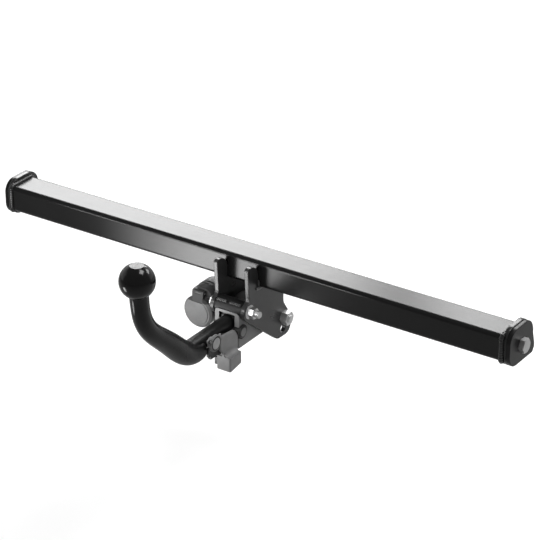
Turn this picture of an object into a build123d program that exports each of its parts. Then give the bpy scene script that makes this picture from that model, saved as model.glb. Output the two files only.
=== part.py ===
from build123d import *
from math import atan2, degrees, radians, sqrt, tan
import os

os.makedirs("parts", exist_ok=True)

# Crossbar: a rectangular steel tube along X, its middle at the origin
tube_half = 418.0
tube_depth = 50.0
tube_height = 40.0
tube_wall = 4.0
tube_corner = 6.0

# End flange, welded on each end of the tube, and the plate bolted over it
flange_thick = 6.5
flange_top = 27.5
flange_back = 39.0
end_joint = 0.3
end_plate_thick = 5.5
end_plate_edge = 0.8
end_plate_front = -24.5
end_plate_back = 40.5
end_plate_toe = 45.5
end_plate_top = 26.0
end_plate_waist = 1.0
end_plate_toe_z = -17.0
end_plate_foot = -30.0
end_plate_shoulder = 19.0
end_plate_crown = 22.0
end_plate_belly = 21.0
end_plate_heel = 6.0
end_bolt_room = 0.5
end_bolt_z = -4.5
end_bolt_past_nut = 4.0

# Side plates: two flame-cut plates that hook over the tube's lower front edge
plate_thick = 6.0
plate_gap = 46.3
horn_top = 18.0
horn_front = -51.0
horn_foot = -46.8
horn_front_radius = 5.0
horn_back_radius = 20.0
lobe_radius = 14.5
notch_radius = 8.0
plate_foot = -125.0
plate_belly = 24.0
plate_heel = 60.0
plate_hip_y = 55.0
plate_hip_z = -94.0
plate_waist_y = 39.0
plate_waist_z = -70.0
plate_shoulder_z = -34.0
plate_belly_radius = 18.0
plate_heel_radius = 13.0
plate_hip_radius = 12.0
plate_waist_radius = 14.0
plate_shoulder_radius = 6.0
plate_small_radius = 1.0
hole_gap = 0.5
spare_hole_y = 37.5
spare_hole_z = -112.5
spare_hole_radius = 6.5

# Bolts through both side plates
front_bolt_y = -46.3
front_bolt_z = -49.8
rear_bolt_y = 39.8
rear_bolt_z = -95.0
front_bolt_stand = 8.0
rear_bolt_stand = 2.6

# Metric fasteners: thread, width across flats, head height and nut height
m12_thread = 12.0
m12_flats = 19.0
m12_head = 7.5
m12_nut = 10.5
m10_thread = 10.0
m10_flats = 15.0
m10_head = 6.4
m10_nut = 10.0
m10_flange_radius = 10.4
m10_flange_height = 2.2
m5_thread = 5.0
m5_flats = 8.0
m5_head_radius = 4.2
m5_head = 3.0
m5_nut = 4.0
washer_thick = 2.0
washer_rim = 1.3
thread_gap = 0.05
head_chamfer = 30.0

# Receiver: an inverted channel between the side plates, open at the front and below
receiver_width = 40.6
receiver_top = -50.0
receiver_bottom = -104.5
receiver_front = -61.0
receiver_back = 52.0
receiver_corner = 5.0
channel_width = 26.6
channel_roof = -59.0
mouth_roof = -54.0
mouth_depth = 4.0
boss_radius = 13.2
pad_radius = 9.2
spacer_radius = 9.0
slide_gap = 0.3

# Tow ball and swan neck, one forging
ball_radius = 25.0
ball_y = -265.0
ball_z = 83.0
ball_flat_radius = 9.8
neck_knee_y = -256.9
neck_knee_z = 11.4
neck_knee_radius = 90.0
neck_elbow_y = -157.7
neck_elbow_radius = 40.0
heel_z = -76.5
heel_back = -128.5
heel_edge = 6.0
neck_radii = [14.0, 13.3, 14.3, 15.7, 17.0, 17.2, 16.2]
arm_radius = 10.6
arm_rise = 5.0
arm_z = -70.0
arm_front = -158.0

# Shank: the squared end of the neck, inside the receiver
shank_front = -58.0
shank_back = 23.0
shank_bottom = -94.5
shank_edge = 2.0
cross_pin_radius = 8.5
cross_pin_y = -54.0
cross_pin_z = -80.0
cross_pin_half = 24.0
cross_pin_edge = 1.0
pin_gap = 0.05

# Release lever on the neck's right side, turning on a shaft through the arm
lever_y = -118.0
lever_z = -70.0
lever_shaft_radius = 3.5
lever_shaft_left = -9.8
lever_shaft_right = 15.9
lever_boss_radius = 7.5
lever_boss_inner = 11.2
lever_hub_radius = 12.6
lever_hub_inner = 18.3
lever_hub_outer = 20.2
panel_inner = 16.8
panel_outer = 21.2
panel_front = -106.0
panel_back = -63.5
panel_top = -66.0
panel_slope = 4.0
panel_corner = 7.0
panel_edge = 1.0
grip_left = 7.0
grip_right = 31.0
grip_front = -97.0
grip_back = -69.0
grip_top = -101.5
grip_bottom = -124.0
grip_corner = 2.5
grip_rib = 5.0
grip_rib_thick = 3.0
grip_taper = 4.5
flare_rise = 8.0
flare_front = -96.0
flare_back = -70.0
panel_waist = -87.5

# Latch housing, the stepped moulding clipped under the arm
latch_front = -126.0
latch_step = -105.0
latch_back = -81.0
latch_left = -9.0
latch_nose = 10.0
latch_right = 15.2
latch_top = -78.3
latch_foot = -96.5
latch_edge = 1.5
latch_ledge = 5.0

# Key lock in the lever's hub, with a cover that swings aside
barrel_radius = 5.5
barrel_length = 4.0
keyway_width = 1.2
keyway_length = 6.0
keyway_depth = 2.5
cover_radius = 12.0
cover_thick = 1.9
cover_face_radius = 9.6
cover_groove = 1.2
cover_rim = 1.1
cover_gap = 0.3
cover_ear_y = -14.5
cover_ear_z = 8.5
cover_ear_radius = 2.6
cover_screw_radius = 1.2
cover_screw_head = 2.0
cover_screw_height = 1.2

# Trailer socket, its axis along Y beside the left plate
socket_x = -60.0
socket_z = -75.0
bracket_front = 3.0
bracket_thick = 3.0
bracket_radius = 33.0
bracket_tongue = 9.0
bracket_foot = 20.0
gasket_thick = 2.0
socket_flange_thick = 3.0
socket_flange_radius = 27.0
socket_ear_radius = 5.0
socket_screw_ring = 28.5
socket_screw_angles = [30, 150, 270]
socket_radius = 24.0
socket_wall = 2.6
socket_front = -44.0
socket_floor = 3.0
sleeve_radius = 15.0
sleeve_wall = 2.5
sleeve_back = 20.0
sleeve_room = 2.0
insert_radius = 15.5
insert_front = -26.0
contact_radius = 1.6
contact_bore = 1.0
contact_stand = 1.2
contact_depth = 14.0
inner_contacts = 4
inner_contact_ring = 6.0
outer_contacts = 8
outer_contact_ring = 11.6
hump_half = 17.0
hump_rise = 34.5
hump_front = -37.8
hump_corner = 12.0
gland_radius = 11.0
gland_length = 16.0
gland_bore = 5.0
gland_flats = 22.0

# Socket lid, hinged above the socket's mouth
lid_radius = 24.5
lid_front = -50.0
lid_joint = 0.6
lid_edge = 3.2
lid_face_radius = 18.8
lid_face_step = 0.8
hood_foot = -58.5
hood_lean = 3.5
lid_tab_half = 9.2
hinge_y = -43.0
hinge_rise = 29.0
knuckle_radius = 4.0
hinge_pin_radius = 1.5
lug_side_gap = 0.3
knuckle_side = 4.0
seal_outer = 23.0
seal_width = 3.0
seal_depth = 2.0

# Places that follow from the sizes above
end_bolt_y = tube_depth / 2 - tube_wall - m12_flats / sqrt(3) - end_bolt_room
flange_outer = tube_half + flange_thick
end_plate_inner = flange_outer + end_joint
end_face = end_plate_inner + end_plate_thick
plate_inner = plate_gap / 2
plate_outer = plate_inner + plate_thick
shank_width = channel_width - 2 * slide_gap
shank_top = channel_roof - slide_gap
ear_reach = sqrt(cover_ear_y**2 + cover_ear_z**2)
ear_slant = degrees(atan2(cover_ear_z, cover_ear_y))
ear_y = lever_y + cover_ear_y
ear_z = lever_z + cover_ear_z
cover_inner = lever_hub_outer + cover_gap
barrel_floor = lever_hub_outer - barrel_length
hinge_z = socket_z + hinge_rise
gasket_front = bracket_front - gasket_thick
socket_seat = gasket_front - socket_flange_thick
lid_back = socket_front - lid_joint


def save(piece, name):
    """Labels a finished piece and writes it under its own name."""
    piece.label = name
    export_step(piece, f"parts/{name}.step")


def facing(side, x, y, z):
    """A plane across the X axis that faces right (side 1) or left (side -1)."""
    return Plane(origin=(x, y, z), x_dir=(0, 1, 0), z_dir=(side, 0, 0))


def across(y, x=0.0, z=0.0):
    """A plane across the Y axis that faces the front, with X and Z as its own axes."""
    return Plane(origin=(x, y, z), x_dir=(1, 0, 0), z_dir=(0, -1, 0))


def hex_bolt(seat, thread, flats, head, length):
    """A hex bolt: the head stands on the seat plane and the shank runs behind it."""
    crown = flats / 2 + head / tan(radians(head_chamfer))
    with BuildPart() as bolt:
        with BuildSketch(seat):
            RegularPolygon(flats / 2, 6, major_radius=False)
        extrude(amount=head)
        with Locations(seat):
            Cone(crown, flats / 2, head, align=(Align.CENTER, Align.CENTER, Align.MIN), mode=Mode.INTERSECT)
        with BuildSketch(seat):
            Circle(thread / 2)
        extrude(amount=-length)
        tip = bolt.faces().sort_by(Axis(seat.origin, seat.z_dir))[0]
        chamfer(tip.edges(), thread / 10)
    return bolt.part


def hex_nut(seat, thread, flats, height, flange_radius=0.0, flange_height=0.0):
    """A hex nut on the seat plane, with a washer flange where a radius is given."""
    crown = flats / 2 + height / tan(radians(head_chamfer))
    with BuildPart() as nut:
        with BuildSketch(seat):
            RegularPolygon(flats / 2, 6, major_radius=False)
        extrude(amount=height)
        with Locations(seat):
            Cone(crown, flats / 2, height, align=(Align.CENTER, Align.CENTER, Align.MIN), mode=Mode.INTERSECT)
            if flange_radius:
                Cone(flange_radius, flats / 2, flange_height, align=(Align.CENTER, Align.CENTER, Align.MIN))
        with BuildSketch(seat):
            Circle(thread / 2 + thread_gap)
        extrude(amount=height, mode=Mode.SUBTRACT)
    return nut.part


def ring(seat, outer, inner, length):
    """A plain round ring that stands on the seat plane."""
    with BuildPart() as collar:
        with BuildSketch(seat):
            Circle(outer)
            Circle(inner, mode=Mode.SUBTRACT)
        extrude(amount=length)
    return collar.part


def group(pieces):
    """Several separate solids that share one node."""
    return Compound(children=list(pieces))


# Crossbar tube
with BuildPart() as crossbar_tube:
    with BuildSketch(Plane.YZ.offset(-tube_half)):
        RectangleRounded(tube_depth, tube_height, tube_corner)
        RectangleRounded(
            tube_depth - 2 * tube_wall,
            tube_height - 2 * tube_wall,
            tube_corner - tube_wall,
            mode=Mode.SUBTRACT,
        )
    extrude(amount=2 * tube_half)
save(crossbar_tube.part, "crossbar_tube")


# End flanges and the plates over them share one rounded outline
def end_outline(offset, top, back, toe):
    corners = [
        (end_plate_front, top),
        (back, top),
        (back, end_plate_waist),
        (toe, end_plate_toe_z),
        (toe, end_plate_toe_z - end_plate_heel),
        (back, end_plate_foot),
        (end_plate_front, end_plate_foot),
    ]
    radii = [
        end_plate_shoulder,
        end_plate_crown,
        end_plate_heel,
        end_plate_heel / 2,
        end_plate_heel / 2,
        end_plate_heel / 2,
        end_plate_belly,
    ]
    with BuildSketch(Plane.YZ.offset(offset)) as outline:
        with BuildLine():
            FilletPolyline(*corners, radius=radii, close=True)
        make_face()
        with Locations((end_bolt_y, end_bolt_z)):
            Circle(m12_thread / 2 + hole_gap, mode=Mode.SUBTRACT)
    return outline.sketch


def end_flange(side):
    with BuildPart() as flange:
        flange_toe = flange_back + (end_plate_toe - end_plate_back) / 2
        extrude(end_outline(side * tube_half, flange_top, flange_back, flange_toe), amount=side * flange_thick)
        chamfer(flange.faces().sort_by(Axis.X)[0 if side < 0 else -1].outer_wire().edges(), end_plate_edge)
    return flange.part


# End plates: the faces that bolt to the vehicle's chassis members
def end_plate(side):
    with BuildPart() as plate:
        outline = end_outline(side * end_plate_inner, end_plate_top, end_plate_back, end_plate_toe)
        extrude(outline, amount=side * end_plate_thick)
        chamfer(plate.faces().sort_by(Axis.X)[0 if side < 0 else -1].outer_wire().edges(), end_plate_edge)
    return plate.part


for side, hand in ((1, "right"), (-1, "left")):
    save(end_flange(side), f"end_flange_{hand}")
    save(end_plate(side), f"end_plate_{hand}")

end_bolt_length = end_face - tube_half + m12_nut + end_bolt_past_nut
save(
    group(
        hex_bolt(facing(side, side * end_face, end_bolt_y, end_bolt_z), m12_thread, m12_flats, m12_head, end_bolt_length)
        for side in (1, -1)
    ),
    "end_bolts",
)
save(
    group(
        hex_nut(facing(-side, side * tube_half, end_bolt_y, end_bolt_z), m12_thread, m12_flats, m12_nut)
        for side in (1, -1)
    ),
    "end_nuts",
)


# Side plates
def side_plate(side):
    front = -tube_depth / 2
    under = -tube_height / 2
    # The lower edge leaves the front lobe at its tangent and runs down to the belly
    run = sqrt((plate_belly - front_bolt_y) ** 2 + (plate_foot - front_bolt_z) ** 2 - lobe_radius**2)
    reach = run**2 + lobe_radius**2
    along = (plate_belly - front_bolt_y) / reach
    down = (plate_foot - front_bolt_z) / reach
    touch_y = front_bolt_y + lobe_radius**2 * along + lobe_radius * run * down
    touch_z = front_bolt_z + lobe_radius**2 * down - lobe_radius * run * along
    corners = [
        (front, under),
        (front, horn_top),
        (horn_front, horn_top),
        (horn_foot, front_bolt_z + lobe_radius / 2),
        (touch_y, touch_z),
        (plate_belly, plate_foot),
        (plate_heel, plate_foot),
        (plate_hip_y, plate_hip_z),
        (plate_waist_y, plate_waist_z),
        (plate_waist_y, plate_shoulder_z),
        (-front, under),
    ]
    radii = [
        tube_corner - plate_small_radius,
        horn_back_radius,
        horn_front_radius,
        plate_small_radius,
        plate_small_radius,
        plate_belly_radius,
        plate_heel_radius,
        plate_hip_radius,
        plate_waist_radius,
        plate_shoulder_radius,
        plate_small_radius,
    ]
    with BuildPart() as plate:
        with BuildSketch(Plane.YZ.offset(side * plate_inner)) as edge:
            with BuildLine():
                FilletPolyline(*corners, radius=radii, close=True)
            make_face()
            with Locations((front_bolt_y, front_bolt_z)):
                Circle(lobe_radius)
            notch = edge.vertices().sort_by_distance((horn_foot, front_bolt_z + lobe_radius, 0))[0]
            fillet(notch, notch_radius)
            with Locations((front_bolt_y, front_bolt_z)):
                Circle(m10_thread / 2 + hole_gap, mode=Mode.SUBTRACT)
            with Locations((rear_bolt_y, rear_bolt_z)):
                Circle(m12_thread / 2 + hole_gap, mode=Mode.SUBTRACT)
            with Locations((spare_hole_y, spare_hole_z)):
                Circle(spare_hole_radius, mode=Mode.SUBTRACT)
        extrude(amount=side * plate_thick)
    return plate.part


for side, hand in ((1, "right"), (-1, "left")):
    save(side_plate(side), f"side_plate_{hand}")


# Receiver
with BuildPart() as receiver_body:
    with BuildSketch(across(receiver_front)):
        with Locations((0, (receiver_top + receiver_bottom) / 2)):
            Rectangle(receiver_width, receiver_top - receiver_bottom)
    extrude(amount=receiver_front - receiver_back)
    fillet(receiver_body.edges().filter_by(Axis.Y).group_by(Axis.Z)[-1], receiver_corner)
    with BuildSketch(Plane.YZ.offset(-plate_inner)):
        with Locations((front_bolt_y, front_bolt_z)):
            Circle(boss_radius)
        with Locations((rear_bolt_y, rear_bolt_z)):
            Circle(pad_radius)
    extrude(amount=plate_gap)
    with BuildSketch(across(receiver_front)):
        with Locations((0, channel_roof)):
            Rectangle(channel_width, 2 * (channel_roof - receiver_bottom), align=(Align.CENTER, Align.MAX))
    extrude(amount=receiver_front - receiver_back, mode=Mode.SUBTRACT)
    with BuildSketch(across(receiver_front)):
        with Locations((0, mouth_roof)):
            Rectangle(channel_width, 2 * (mouth_roof - channel_roof), align=(Align.CENTER, Align.MAX))
    extrude(amount=-mouth_depth, mode=Mode.SUBTRACT)
    with BuildSketch(Plane.YZ.offset(-plate_inner)):
        with Locations((front_bolt_y, front_bolt_z)):
            Circle(m10_thread / 2 + hole_gap)
        with Locations((rear_bolt_y, rear_bolt_z)):
            Circle(m12_thread / 2 + hole_gap)
        with Locations((cross_pin_y, cross_pin_z)):
            Circle(cross_pin_radius + slide_gap)
            Rectangle(
                cross_pin_y - receiver_front + 1,
                2 * (cross_pin_radius + slide_gap),
                align=(Align.MAX, Align.CENTER),
            )
    extrude(amount=plate_gap, mode=Mode.SUBTRACT)
save(receiver_body.part, "receiver_body")

save(
    ring(facing(1, -channel_width / 2, rear_bolt_y, rear_bolt_z), spacer_radius, m12_thread / 2 + slide_gap, channel_width),
    "rear_spacer",
)
through = 2 * plate_outer
save(
    hex_bolt(
        facing(-1, -plate_outer, front_bolt_y, front_bolt_z),
        m10_thread,
        m10_flats,
        m10_head,
        through + m10_nut + front_bolt_stand,
    ),
    "front_bolt",
)
save(
    hex_nut(
        facing(1, plate_outer, front_bolt_y, front_bolt_z),
        m10_thread,
        m10_flats,
        m10_nut,
        m10_flange_radius,
        m10_flange_height,
    ),
    "front_flange_nut",
)
save(
    hex_bolt(
        facing(-1, -plate_outer - washer_thick, rear_bolt_y, rear_bolt_z),
        m12_thread,
        m12_flats,
        m12_head,
        through + washer_thick + m12_nut + rear_bolt_stand,
    ),
    "rear_bolt",
)
save(
    hex_nut(facing(1, plate_outer, rear_bolt_y, rear_bolt_z), m12_thread, m12_flats, m12_nut),
    "rear_nut",
)
save(
    ring(
        facing(-1, -plate_outer, rear_bolt_y, rear_bolt_z),
        m12_flats / 2 + washer_rim,
        m12_thread / 2 + slide_gap,
        washer_thick,
    ),
    "rear_washer",
)


# Swan neck: ball, curved neck, arm and squared shank in one forging
with BuildLine(Plane.YZ) as neck_route:
    FilletPolyline(
        (ball_y, ball_z),
        (neck_knee_y, neck_knee_z),
        (neck_elbow_y, heel_z),
        (heel_back, heel_z),
        radius=[neck_knee_radius, neck_elbow_radius],
    )
neck_spine = neck_route.wires()[0]
ball_flat_rise = sqrt(ball_radius**2 - ball_flat_radius**2)
neck_start = ball_radius * 3 / 4 / neck_spine.length

with BuildPart() as swan_neck:
    for step, radius in enumerate(neck_radii):
        share = neck_start + (1 - neck_start) * step / (len(neck_radii) - 1)
        with BuildSketch(Plane(origin=neck_spine @ share, x_dir=(1, 0, 0), z_dir=neck_spine % share)):
            Circle(radius)
    loft()
    fillet(swan_neck.faces().sort_by(Axis.Y)[-1].edges(), heel_edge)
    with BuildSketch(across(shank_front + shank_edge / 4, 0, arm_z)):
        SlotCenterToCenter(arm_rise, 2 * arm_radius, rotation=90)
    extrude(amount=shank_front + shank_edge / 4 - arm_front)
    with Locations((0, ball_y, ball_z)):
        Sphere(ball_radius)
    split(bisect_by=Plane.XY.offset(ball_z + ball_flat_rise), keep=Keep.BOTTOM)
    with BuildSketch(across(shank_front)) as shank_section:
        with Locations((0, (shank_top + shank_bottom) / 2)):
            Rectangle(shank_width, shank_top - shank_bottom)
        chamfer(shank_section.vertices(), shank_edge)
    extrude(amount=shank_front - shank_back)
    with BuildSketch(Plane.YZ.offset(-2 * arm_radius)):
        with Locations((lever_y, lever_z)):
            Circle(lever_shaft_radius + pin_gap)
    extrude(amount=4 * arm_radius, mode=Mode.SUBTRACT)
    with BuildSketch(Plane.YZ.offset(-shank_width)):
        with Locations((cross_pin_y, cross_pin_z)):
            Circle(cross_pin_radius + pin_gap)
    extrude(amount=2 * shank_width, mode=Mode.SUBTRACT)
save(swan_neck.part, "swan_neck")

with BuildPart() as cross_pin:
    with BuildSketch(facing(1, -cross_pin_half, cross_pin_y, cross_pin_z)):
        Circle(cross_pin_radius)
    extrude(amount=2 * cross_pin_half)
    chamfer(cross_pin.edges().filter_by(GeomType.CIRCLE), cross_pin_edge)
save(cross_pin.part, "cross_pin")


# Lever shaft, across the arm
with BuildPart() as lever_shaft:
    with BuildSketch(facing(1, lever_shaft_left, lever_y, lever_z)):
        Circle(lever_shaft_radius)
    extrude(amount=lever_shaft_right - lever_shaft_left)
    chamfer(lever_shaft.faces().sort_by(Axis.X)[0].edges(), lever_shaft_radius / 5)
save(lever_shaft.part, "lever_shaft")


# Latch housing: a stepped moulding, cradling the arm from below
with BuildPart() as latch_housing:
    with BuildSketch(Plane.XY.offset(latch_foot)):
        with BuildLine():
            FilletPolyline(
                (latch_nose, latch_front),
                (latch_right, latch_front),
                (latch_right, latch_back),
                (latch_left, latch_back),
                (latch_left, latch_step),
                (latch_nose, latch_step),
                radius=latch_edge,
                close=True,
            )
        make_face()
    extrude(amount=latch_top - latch_foot)
    fillet(latch_housing.faces().sort_by(Axis.Z)[0].edges(), latch_edge / 2)
    with BuildSketch(Plane.XY.offset(latch_foot)):
        with Locations((latch_left, latch_front)):
            Rectangle(latch_right - latch_left, latch_ledge, align=(Align.MIN, Align.MIN))
    extrude(amount=latch_ledge, mode=Mode.SUBTRACT)
    with BuildSketch(across(latch_front, 0, arm_z)):
        SlotCenterToCenter(arm_rise, 2 * (arm_radius + slide_gap), rotation=90)
    extrude(amount=latch_front - latch_back, mode=Mode.SUBTRACT)
save(latch_housing.part, "latch_housing")


# Release lever: hub, flat panel and a grip block under the arm
with BuildPart() as release_lever:
    with BuildSketch(facing(1, panel_inner, 0, 0)) as panel_outline:
        with BuildLine():
            FilletPolyline(
                (grip_front, grip_top - panel_corner),
                (grip_front, grip_top + flare_rise / 2),
                (panel_front, panel_waist),
                (panel_front, panel_top),
                (panel_back - panel_corner, panel_top - panel_slope),
                (panel_back, panel_top - 4 * panel_slope),
                (panel_back, grip_top - panel_corner),
                radius=[panel_corner / 2, panel_corner / 2, panel_corner, panel_corner, panel_corner],
            )
            Line((panel_back, grip_top - panel_corner), (grip_front, grip_top - panel_corner))
        make_face()
    extrude(amount=panel_outer - panel_inner)
    chamfer(release_lever.faces().sort_by(Axis.X)[-1].edges(), panel_edge)
    with BuildSketch(facing(1, lever_hub_inner, lever_y, lever_z)):
        Circle(lever_hub_radius)
        Rectangle(
            panel_front - lever_y + panel_edge * 2,
            2 * lever_hub_radius - panel_corner,
            align=(Align.MIN, Align.CENTER),
        )
        with Locations((cover_ear_y / 2, cover_ear_z / 2)):
            SlotCenterToCenter(ear_reach, 2 * (cover_ear_radius + panel_edge), rotation=ear_slant)
    extrude(amount=lever_hub_outer - lever_hub_inner)
    with BuildSketch(facing(1, lever_boss_inner, lever_y, lever_z)):
        Circle(lever_boss_radius)
    extrude(amount=lever_hub_outer - lever_boss_inner)
    with BuildSketch(Plane.XY.offset(grip_bottom)):
        with Locations(((grip_left + grip_right) / 2, (grip_front + grip_back) / 2)):
            RectangleRounded(grip_right - grip_left, grip_back - grip_front, grip_corner)
    extrude(amount=grip_top - grip_bottom)
    with BuildSketch(Plane.YZ.offset(grip_left)):
        Polygon(
            (grip_front, grip_bottom),
            (grip_back, grip_bottom + grip_taper),
            (grip_back, grip_bottom),
            align=None,
        )
    extrude(amount=grip_right - grip_left, mode=Mode.SUBTRACT)
    fillet(release_lever.faces().sort_by(Axis.Z)[0].edges(), panel_edge)
    with BuildSketch(across(flare_front)):
        with BuildLine():
            Line((panel_inner - flare_rise, grip_top), (panel_outer + flare_rise, grip_top))
            RadiusArc((panel_outer + flare_rise, grip_top), (panel_outer, grip_top + flare_rise), flare_rise)
            Line((panel_outer, grip_top + flare_rise), (panel_inner, grip_top + flare_rise))
            RadiusArc((panel_inner, grip_top + flare_rise), (panel_inner - flare_rise, grip_top), flare_rise)
        make_face()
    extrude(amount=flare_front - flare_back)
    with BuildSketch(Plane.XY.offset(grip_bottom + grip_taper + panel_edge)):
        with Locations((grip_left + grip_corner, grip_front + grip_corner)):
            Rectangle(grip_rib + grip_corner, grip_rib_thick, align=(Align.MAX, Align.MIN))
            with Locations((0, grip_back - grip_front - 2 * grip_corner - grip_rib_thick)):
                Rectangle(grip_rib + grip_corner, grip_rib_thick, align=(Align.MAX, Align.MIN))
    extrude(amount=(grip_top - grip_bottom) / 2)
    with BuildSketch(facing(1, barrel_floor, lever_y, lever_z)):
        Circle(barrel_radius + pin_gap)
    extrude(amount=barrel_length + 1, mode=Mode.SUBTRACT)
    with BuildSketch(facing(1, lever_boss_inner, lever_y, lever_z)):
        Circle(lever_shaft_radius + pin_gap)
    extrude(amount=barrel_length + 1, mode=Mode.SUBTRACT)
    with BuildSketch(facing(1, lever_hub_inner - 1, ear_y, ear_z)):
        Circle(cover_screw_radius + pin_gap)
    extrude(amount=barrel_length, mode=Mode.SUBTRACT)
save(release_lever.part, "release_lever")

with BuildPart() as lock_barrel:
    with BuildSketch(facing(1, barrel_floor, lever_y, lever_z)):
        Circle(barrel_radius)
    extrude(amount=barrel_length)
    with BuildSketch(facing(1, lever_hub_outer, lever_y, lever_z)):
        Rectangle(keyway_width, keyway_length)
    extrude(amount=-keyway_depth, mode=Mode.SUBTRACT)
save(lock_barrel.part, "lock_barrel")

with BuildPart() as lock_cover:
    with BuildSketch(facing(1, cover_inner, lever_y, lever_z)):
        Circle(cover_radius)
        with Locations((cover_ear_y / 2, cover_ear_z / 2)):
            SlotCenterToCenter(ear_reach, 2 * cover_ear_radius, rotation=ear_slant)
    extrude(amount=cover_thick)
    chamfer(lock_cover.faces().sort_by(Axis.X)[-1].edges(), cover_thick / 5)
    with BuildSketch(facing(1, cover_inner + cover_thick, lever_y, lever_z)):
        Circle(cover_radius - cover_rim)
        Circle(cover_face_radius, mode=Mode.SUBTRACT)
    extrude(amount=-cover_groove, mode=Mode.SUBTRACT)
    with BuildSketch(facing(1, cover_inner, ear_y, ear_z)):
        Circle(cover_screw_radius + pin_gap)
    extrude(amount=cover_thick, mode=Mode.SUBTRACT)
save(lock_cover.part, "lock_cover")

with BuildPart() as cover_screw:
    with BuildSketch(facing(1, lever_hub_inner + cover_gap, ear_y, ear_z)):
        Circle(cover_screw_radius)
    extrude(amount=cover_inner + cover_thick + cover_gap / 2 - lever_hub_inner - cover_gap)
    with BuildSketch(facing(1, cover_inner + cover_thick + cover_gap / 2, ear_y, ear_z)):
        Circle(cover_screw_head)
    extrude(amount=cover_screw_height)
    chamfer(cover_screw.faces().sort_by(Axis.X)[-1].edges(), cover_screw_height / 3)
save(cover_screw.part, "cover_screw")


# Socket bracket: a disc behind the socket, its tongue welded to the left side plate
def socket_plane(y):
    """A plane across the socket's axis that faces the front."""
    return across(y, socket_x, socket_z)


tongue_end = -plate_outer - slide_gap - socket_x
with BuildPart() as socket_bracket:
    with BuildSketch(socket_plane(bracket_front)):
        Circle(bracket_radius)
        Rectangle(tongue_end, 2 * bracket_tongue, align=(Align.MIN, Align.CENTER))
        with Locations((tongue_end, 0)):
            Rectangle(bracket_radius, 2 * bracket_radius, align=(Align.MIN, Align.CENTER), mode=Mode.SUBTRACT)
    extrude(amount=-bracket_thick)
    with BuildSketch(socket_plane(bracket_front)):
        with Locations((tongue_end, 0)):
            Rectangle(bracket_thick, 2 * bracket_tongue, align=(Align.MAX, Align.CENTER))
    extrude(amount=-bracket_foot)
    with BuildSketch(socket_plane(bracket_front)):
        Circle(sleeve_radius + sleeve_room)
        for angle in socket_screw_angles:
            with PolarLocations(socket_screw_ring, 1, start_angle=angle):
                Circle(m5_thread / 2 + slide_gap)
    extrude(amount=-bracket_thick, mode=Mode.SUBTRACT)
save(socket_bracket.part, "socket_bracket")


def socket_flange(plane, thickness, rim, hole):
    """A round flange with one screw ear for each socket screw."""
    with BuildPart() as flange:
        with BuildSketch(plane):
            Circle(rim)
            for angle in socket_screw_angles:
                with PolarLocations(socket_screw_ring, 1, start_angle=angle):
                    Circle(socket_ear_radius)
            Circle(hole, mode=Mode.SUBTRACT)
            for angle in socket_screw_angles:
                with PolarLocations(socket_screw_ring, 1, start_angle=angle):
                    Circle(m5_thread / 2 + slide_gap, mode=Mode.SUBTRACT)
        extrude(amount=thickness)
    return flange.part


save(
    socket_flange(socket_plane(bracket_front), gasket_thick, socket_flange_radius, sleeve_radius + sleeve_room),
    "socket_gasket",
)

# Socket housing: flange, shell, hinge hump above and sleeve behind
with BuildPart() as socket_housing:
    add(socket_flange(socket_plane(gasket_front), socket_flange_thick, socket_flange_radius, sleeve_radius - sleeve_wall))
    with BuildSketch(socket_plane(gasket_front)):
        Circle(socket_radius)
    extrude(amount=gasket_front - socket_front)
    with BuildSketch(socket_plane(gasket_front)):
        with Locations((0, hump_rise)):
            Rectangle(2 * hump_half, hump_rise, align=(Align.CENTER, Align.MAX))
    extrude(amount=gasket_front - hump_front)
    hump_edges = socket_housing.edges().filter_by(Axis.Y).group_by(Axis.Z)[-1]
    fillet(hump_edges, hump_corner)
    with BuildSketch(Plane.YZ.offset(socket_x - lid_tab_half + knuckle_side)):
        with Locations((hinge_y, hinge_z)):
            Circle(knuckle_radius)
            Rectangle(hump_front - hinge_y + 1, knuckle_radius, align=(Align.MIN, Align.MAX))
    extrude(amount=2 * (lid_tab_half - knuckle_side))
    with BuildSketch(socket_plane(socket_front)):
        Circle(socket_radius - socket_wall)
    extrude(amount=-(socket_seat - socket_floor - socket_front), mode=Mode.SUBTRACT)
    with BuildSketch(socket_plane(gasket_front)):
        Circle(sleeve_radius)
    extrude(amount=-(sleeve_back - gasket_front))
    with BuildSketch(socket_plane(socket_seat - socket_floor)):
        Circle(sleeve_radius - sleeve_wall)
    extrude(amount=-(sleeve_back - socket_seat + socket_floor), mode=Mode.SUBTRACT)
    with BuildSketch(Plane.YZ.offset(socket_x - lid_tab_half)):
        with Locations((hinge_y, hinge_z)):
            Circle(hinge_pin_radius + pin_gap)
    extrude(amount=2 * lid_tab_half, mode=Mode.SUBTRACT)
save(socket_housing.part, "socket_housing")

# Contact carrier and its thirteen pins
insert_back = socket_seat - socket_floor - slide_gap
with BuildPart() as contact_insert:
    with BuildSketch(socket_plane(insert_back)):
        Circle(insert_radius)
    extrude(amount=insert_back - insert_front)
    chamfer(contact_insert.faces().sort_by(Axis.Y)[0].edges(), contact_bore)
    with BuildSketch(socket_plane(insert_front)):
        Circle(contact_radius + pin_gap)
        with PolarLocations(inner_contact_ring, inner_contacts):
            Circle(contact_radius + pin_gap)
        with PolarLocations(outer_contact_ring, outer_contacts):
            Circle(contact_radius + pin_gap)
    extrude(amount=-contact_depth, mode=Mode.SUBTRACT)
save(contact_insert.part, "contact_insert")

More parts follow.
